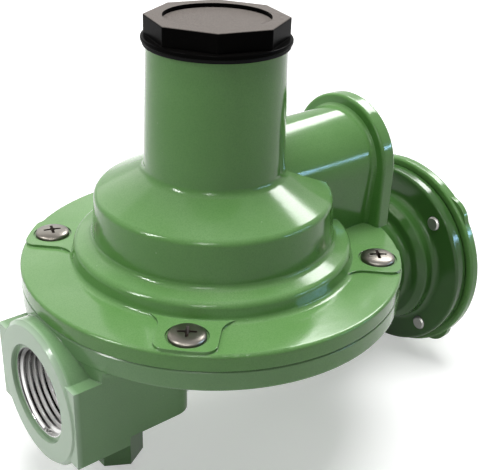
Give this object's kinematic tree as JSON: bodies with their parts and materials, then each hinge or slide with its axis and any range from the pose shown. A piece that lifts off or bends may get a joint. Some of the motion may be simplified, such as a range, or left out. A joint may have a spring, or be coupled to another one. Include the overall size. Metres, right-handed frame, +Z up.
{
  "type": "two-stage gas regulator",
  "caption": "Two-stage low-pressure gas regulator: round diaphragm casting with a capped spring tower, side vent, threaded outlet and a smaller first stage on its back.",
  "frame": {"origin": "centre of the outlet thread's mouth, where the pipe screws in", "axes": "+X from the outlet through the body to the first stage, +Z up along the spring tower, +Y towards the inlet boss"},
  "size_m": [0.1672, 0.114, 0.1329],
  "materials": {
    "casting": "gloss sage-green enamel over die-cast metal",
    "casting_body": "gloss sage-green enamel over die-cast metal, bare thread in the outlet",
    "cover_paint": "gloss sage-green enamel over die-cast metal",
    "cap": "black moulded plastic, satin",
    "gasket": "black rubber ring",
    "screw_steel": "zinc-plated steel screws",
    "spring_steel": "spring steel wire",
    "plate_steel": "pressed zinc-plated steel",
    "aluminium": "turned or cast bare aluminium",
    "brass": "turned brass",
    "rubber": "nitrile rubber",
    "mesh": "perforated steel screen",
    "filter": "sintered bronze"
  },
  "bodies": {
    "housing": {"bonnet": "casting", "lower_body": "casting_body", "bonnet_screws": "screw_steel", "vent_screen": "mesh", "vent_ring": "plate_steel", "main_diaphragm": "rubber", "main_spring": "spring_steel", "lever_pin": "plate_steel", "second_orifice": "brass", "second_orifice_seal": "rubber", "first_stage_cover": "cover_paint", "first_stage_screws": "screw_steel", "first_diaphragm": "rubber", "first_orifice": "brass", "first_stage_spring": "spring_steel", "poppet_spring": "spring_steel", "tap_plug": "screw_steel", "inlet_filter": "filter"},
    "gasket": {"cap_gasket": "gasket"},
    "cap": {"closing_cap": "cap"},
    "washer": {"spring_washer": "plate_steel"},
    "adjuster": {"adjusting_screw": "aluminium"},
    "stem": {"pusher_stem": "aluminium", "relief_nut": "brass", "relief_spring": "spring_steel"},
    "plate": {"diaphragm_plate": "plate_steel"},
    "crank": {"lever": "plate_steel"},
    "valve": {"valve_rod": "brass", "seat_disc": "rubber"},
    "small_plate": {"first_plate": "aluminium"},
    "small_valve": {"poppet": "brass", "poppet_seat": "rubber"}
  },
  "joints": [
    {"name": "cap_lift", "type": "slide", "parent": "housing", "child": "gasket", "axis": [0, 0, 1], "range_m": [0, 0.0091]},
    {"name": "cap_turn", "type": "hinge", "parent": "gasket", "child": "cap", "pos_m": [0.0602, 0, 0.0896], "axis": [0, 0, 1], "range_deg": [0, 2160]},
    {"name": "adjuster_travel", "type": "slide", "parent": "housing", "child": "washer", "axis": [0, 0, 1], "range_m": [-0.0041, 0.0051]},
    {"name": "adjuster_turn", "type": "hinge", "parent": "washer", "child": "adjuster", "pos_m": [0.0602, 0, 0.067], "axis": [0, 0, 1], "range_deg": [-720, 900]},
    {"name": "stem_lift", "type": "slide", "parent": "housing", "child": "stem", "axis": [0, 0, 1], "range_m": [0, 0.003], "stiffness_N_per_m": 1200, "deforming": ["main_spring", "main_diaphragm"]},
    {"name": "relief_lift", "type": "slide", "parent": "stem", "child": "plate", "axis": [0, 0, 1], "range_m": [0, 0.002], "stiffness_N_per_m": 1500, "deforming": ["relief_spring"]},
    {"name": "lever_swing", "type": "hinge", "parent": "housing", "child": "crank", "pos_m": [0.0442, 0, 0.011], "axis": [0, 1, 0], "range_deg": [-10.8, 0]},
    {"name": "valve_slide", "type": "slide", "parent": "housing", "child": "valve", "axis": [1, 0, 0], "range_m": [0, 0.0021]},
    {"name": "first_stage_stroke", "type": "slide", "parent": "housing", "child": "small_plate", "axis": [1, 0, 0], "range_m": [0, 0.0012], "stiffness_N_per_m": 2500, "deforming": ["first_stage_spring", "first_diaphragm"]},
    {"name": "poppet_slide", "type": "slide", "parent": "housing", "child": "small_valve", "axis": [1, 0, 0], "range_m": [0, 0.00121], "deforming": ["poppet_spring"]}
  ],
  "couplings": [
    {"joint": "cap_lift", "follows": "cap_turn", "m_per_rad": 0.00023873},
    {"joint": "adjuster_travel", "follows": "adjuster_turn", "m_per_rad": 0.00031831},
    {"joint": "lever_swing", "follows": "stem_lift", "rad_per_m": -62.5},
    {"joint": "valve_slide", "follows": "stem_lift", "ratio": 0.6875},
    {"joint": "poppet_slide", "follows": "first_stage_stroke", "ratio": 1}
  ]
}
